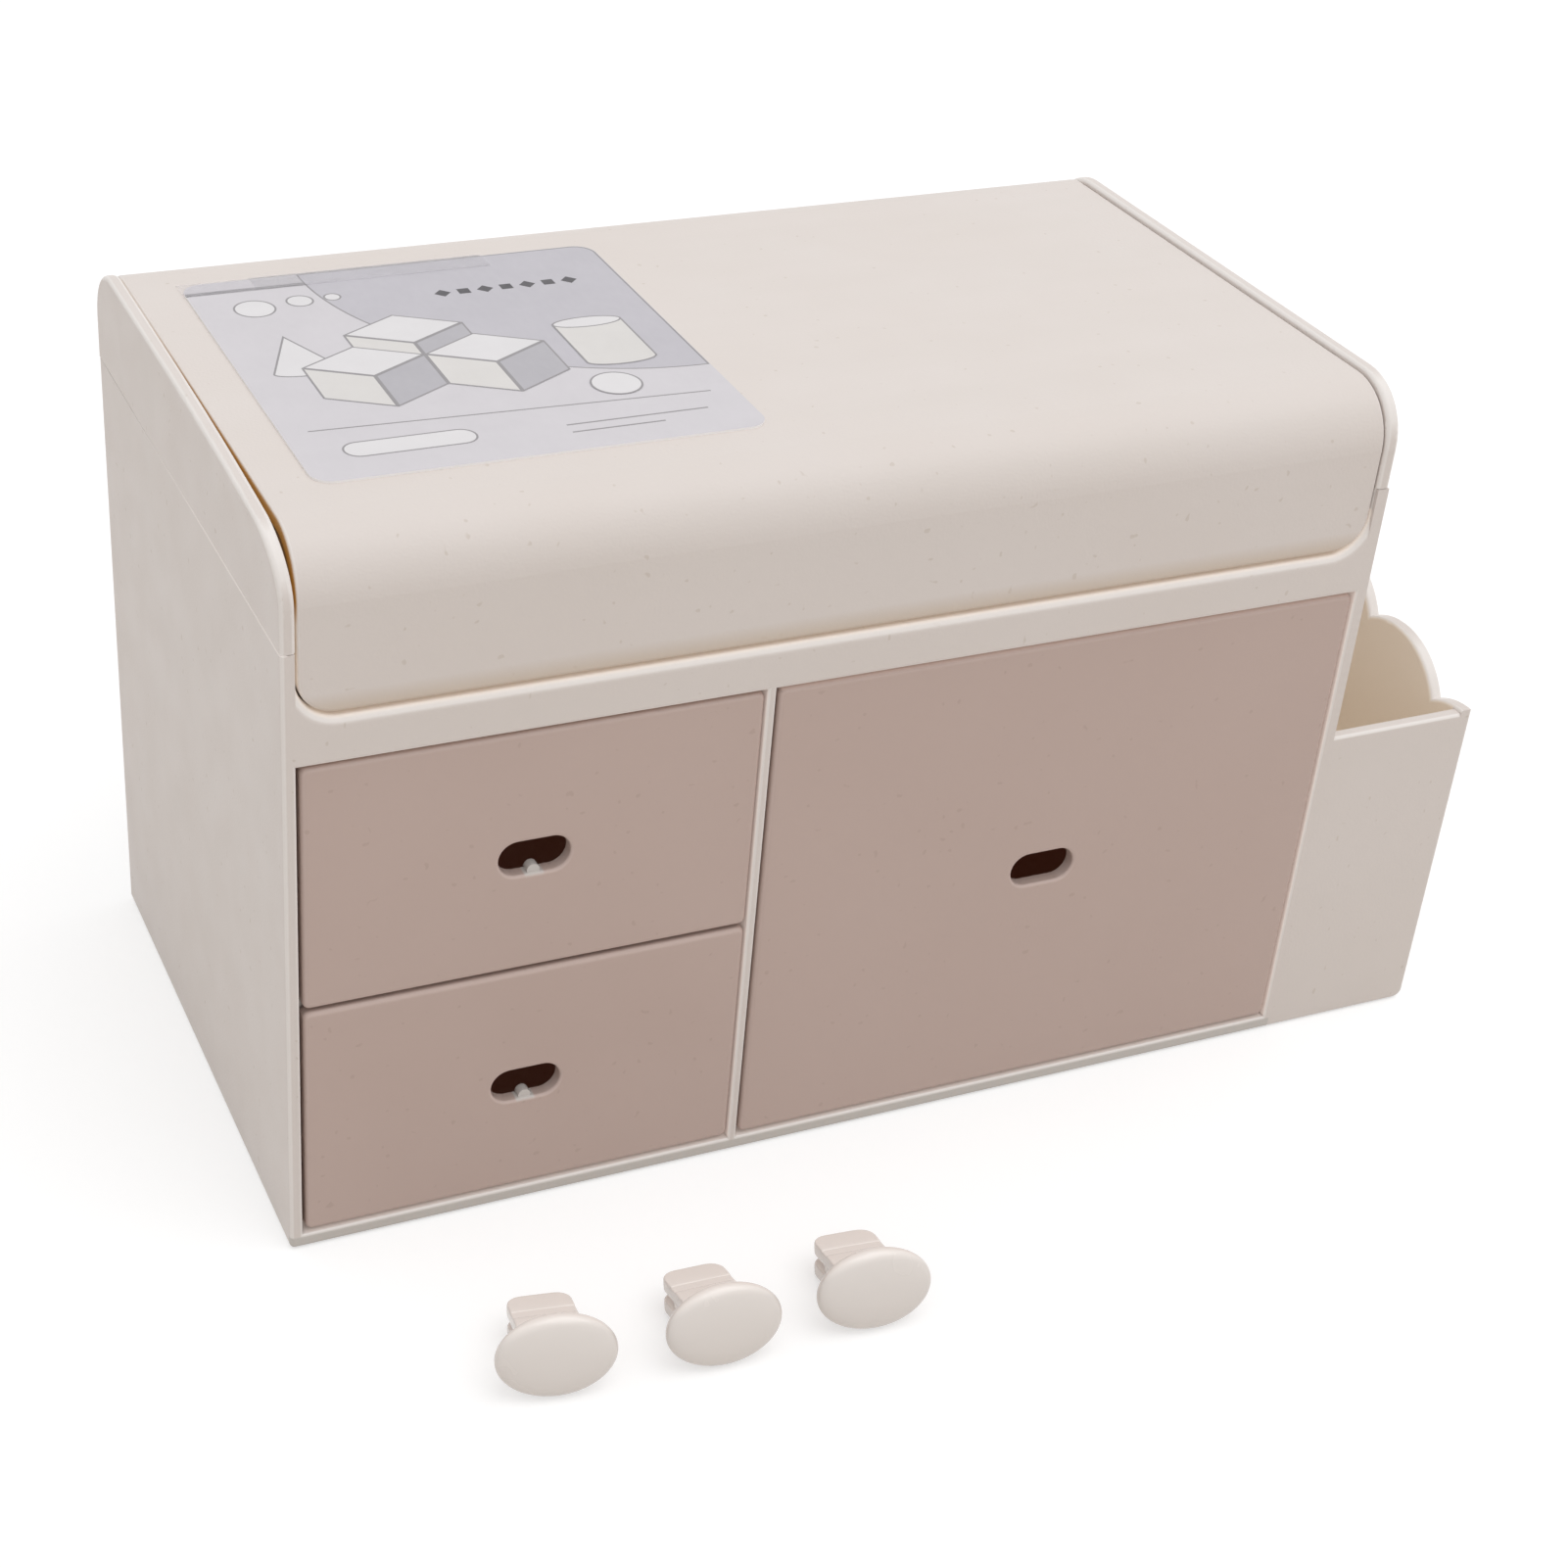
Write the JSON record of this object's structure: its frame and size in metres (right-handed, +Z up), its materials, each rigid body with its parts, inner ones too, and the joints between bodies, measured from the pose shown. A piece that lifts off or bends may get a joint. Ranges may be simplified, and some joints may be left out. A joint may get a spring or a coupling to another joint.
{
  "type": "desktop mini drawers",
  "caption": "Desktop organizer box with small and large drawers, a divided tray under a hinged lid, a scalloped side pocket and loose push-in knobs.",
  "frame": {"origin": "on the underside, in the middle of the total width and of the base depth", "axes": "+X to the right seen from the front, towards the side pocket; +Y to the back; +Z up"},
  "size_m": [0.1867, 0.1349, 0.1095],
  "materials": {
    "cream_plastic": "satin",
    "rose_plastic": "semi-gloss",
    "knob_plastic": "gloss",
    "printed_card": "smooth printed sheet",
    "clear_tape": "clear"
  },
  "bodies": {
    "case": {"lower_case": "cream_plastic", "upper_frame": "cream_plastic", "tray": "cream_plastic", "tray_partition": "cream_plastic", "drawer_shelf": "cream_plastic"},
    "lid": {"lid": "cream_plastic", "insert_card": "printed_card", "under_tape": "clear_tape", "over_tape": "clear_tape"},
    "lower_drawer": {"small_drawer_lower": "rose_plastic"},
    "upper_drawer": {"small_drawer_upper": "rose_plastic"},
    "right_drawer": {"large_drawer": "rose_plastic"},
    "left_knob": {"knob_left": "knob_plastic"},
    "middle_knob": {"knob_middle": "knob_plastic"},
    "right_knob": {"knob_right": "knob_plastic"}
  },
  "joints": [
    {"name": "lid_hinge", "type": "hinge", "parent": "case", "child": "lid", "pos_m": [0, 0.04025, 0.1013], "axis": [-1, 0, 0], "range_deg": [0, 105]},
    {"name": "lower_drawer_slide", "type": "slide", "parent": "case", "child": "lower_drawer", "axis": [0, -1, 0], "range_m": [0, 0.075]},
    {"name": "upper_drawer_slide", "type": "slide", "parent": "case", "child": "upper_drawer", "axis": [0, -1, 0], "range_m": [0, 0.075]},
    {"name": "right_drawer_slide", "type": "slide", "parent": "case", "child": "right_drawer", "axis": [0, -1, 0], "range_m": [0, 0.075]},
    {"name": "left_knob_slide", "type": "slide", "parent": "case", "child": "left_knob", "axis": [0, -1, 0], "range_m": [0, 0.057]},
    {"name": "middle_knob_slide", "type": "slide", "parent": "case", "child": "middle_knob", "axis": [0, -1, 0], "range_m": [0, 0.057]},
    {"name": "right_knob_slide", "type": "slide", "parent": "middle_knob", "child": "right_knob", "axis": [0, -1, 0], "range_m": [0, 0.057]}
  ],
  "couplings": [
    {"joint": "left_knob_slide", "follows": "lower_drawer_slide", "ratio": 0.75},
    {"joint": "middle_knob_slide", "follows": "lower_drawer_slide", "ratio": 0.75},
    {"joint": "right_knob_slide", "follows": "right_drawer_slide", "ratio": 0.75}
  ]
}
